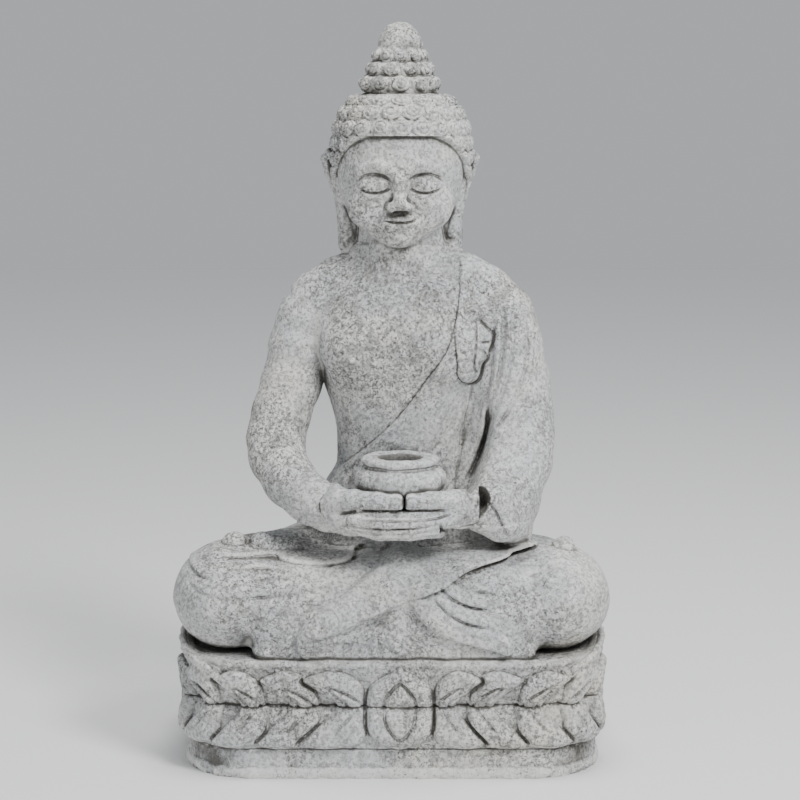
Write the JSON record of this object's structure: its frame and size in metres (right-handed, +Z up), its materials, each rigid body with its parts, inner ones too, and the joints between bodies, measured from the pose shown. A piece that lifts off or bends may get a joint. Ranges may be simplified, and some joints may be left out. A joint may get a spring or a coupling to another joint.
{
  "type": "seated buddha statue",
  "caption": "Cast stone seated meditating figure in a draped robe, holding an alms bowl with a round well, on a double lotus base.",
  "frame": {"origin": "middle of the underside of the base slab", "axes": "+Z up, the figure faces -Y, its own left side is +X"},
  "size_m": [0.3532, 0.2264, 0.6],
  "materials": {
    "cast_stone": "weathered light grey cast stone with a fine sandy grain, pits and dark grime in the creases",
    "mortar": "grey cement mortar, rough",
    "reinforcing_steel": "plain round mild steel bar, dull"
  },
  "bodies": {
    "root": {"base_slab": "cast_stone", "lower_lotus": "cast_stone", "upper_lotus": "cast_stone", "seat_bed": "mortar", "crossed_legs": "cast_stone", "right_foot": "cast_stone", "left_foot": "cast_stone", "torso": "cast_stone", "robe": "cast_stone", "chest_fold": "cast_stone", "right_arm": "cast_stone", "left_arm": "cast_stone", "right_hand": "cast_stone", "left_hand": "cast_stone", "bowl_bed": "mortar", "alms_bowl": "cast_stone", "neck_bed": "mortar", "head": "cast_stone", "hair_cap": "cast_stone", "crown_knot": "cast_stone", "spine_bar": "reinforcing_steel", "base_dowels": "reinforcing_steel", "right_arm_bar": "reinforcing_steel", "left_arm_bar": "reinforcing_steel"}
  },
  "joints": []
}
